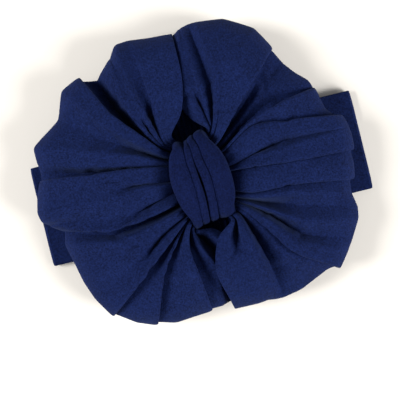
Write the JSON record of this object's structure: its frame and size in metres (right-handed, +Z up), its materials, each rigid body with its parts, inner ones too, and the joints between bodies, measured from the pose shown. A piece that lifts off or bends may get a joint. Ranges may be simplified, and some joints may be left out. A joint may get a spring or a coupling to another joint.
{
  "type": "bow headband",
  "caption": "Wide stretch-knit headband lying folded flat, with a large two-loop bow that fans out from a pleated knot.",
  "frame": {"origin": "middle of the band's underside, below the knot, on the surface that it lies on", "axes": "+X along the folded band, towards its right end; +Y across the band; +Z up, out of the bow's face"},
  "size_m": [0.177, 0.1498, 0.0315],
  "materials": {
    "navy_knit": "matte brushed knit with a fine soft nap",
    "sewing_thread": "twisted sewing thread, slight sheen"
  },
  "bodies": {
    "back_centre": {"band_back_centre": "navy_knit", "band_back_centre_seam_thread": "sewing_thread"},
    "back_left": {"band_back_left": "navy_knit", "band_back_left_seam_thread": "sewing_thread", "band_left_fold": "navy_knit"},
    "front_left": {"band_front_left": "navy_knit", "band_front_left_seam_thread": "sewing_thread"},
    "back_right": {"band_back_right": "navy_knit", "band_back_right_seam_thread": "sewing_thread", "band_right_fold": "navy_knit"},
    "front_right": {"band_front_right": "navy_knit", "band_front_right_seam_thread": "sewing_thread"},
    "knot": {"band_front_centre": "navy_knit", "band_closing_seam": "sewing_thread", "bow_waist": "navy_knit", "gathering_thread": "sewing_thread", "knot_wrap": "navy_knit", "knot_closing_stitches": "sewing_thread"},
    "left_loop": {"bow_left_front_layer": "navy_knit", "bow_left_back_layer": "navy_knit", "bow_left_seam_thread": "sewing_thread"},
    "right_loop": {"bow_right_front_layer": "navy_knit", "bow_right_back_layer": "navy_knit", "bow_right_seam_thread": "sewing_thread"}
  },
  "joints": [
    {"name": "band_open", "type": "hinge", "parent": "back_centre", "child": "back_left", "pos_m": [-0.006, 0, 0.0019], "axis": [0, 1, 0], "range_deg": [0, 42]},
    {"name": "left_end_fold", "type": "hinge", "parent": "back_left", "child": "front_left", "pos_m": [-0.0864, 0, 0.0021], "axis": [0, 1, 0], "range_deg": [-84.84, 0]},
    {"name": "left_knot_edge", "type": "hinge", "parent": "front_left", "child": "knot", "pos_m": [-0.018, 0, 0.0054], "axis": [0, 1, 0], "range_deg": [0, 42.84]},
    {"name": "right_back_bend", "type": "hinge", "parent": "back_centre", "child": "back_right", "pos_m": [0.006, 0, 0.0019], "axis": [0, 1, 0], "range_deg": [-42, 0]},
    {"name": "right_end_fold", "type": "hinge", "parent": "back_right", "child": "front_right", "pos_m": [0.0864, 0, 0.0021], "axis": [0, 1, 0], "range_deg": [0, 84.84]},
    {"name": "left_loop_lift", "type": "hinge", "parent": "knot", "child": "left_loop", "pos_m": [0, 0, 0.012], "axis": [0, 1, 0], "range_deg": [0, 25]},
    {"name": "right_loop_lift", "type": "hinge", "parent": "knot", "child": "right_loop", "pos_m": [0, 0, 0.012], "axis": [0, -1, 0], "range_deg": [0, 25]}
  ],
  "couplings": [
    {"joint": "left_end_fold", "follows": "band_open", "ratio": -2.02},
    {"joint": "left_knot_edge", "follows": "band_open", "ratio": 1.02},
    {"joint": "right_back_bend", "follows": "band_open", "ratio": -1},
    {"joint": "right_end_fold", "follows": "band_open", "ratio": 2.02}
  ]
}
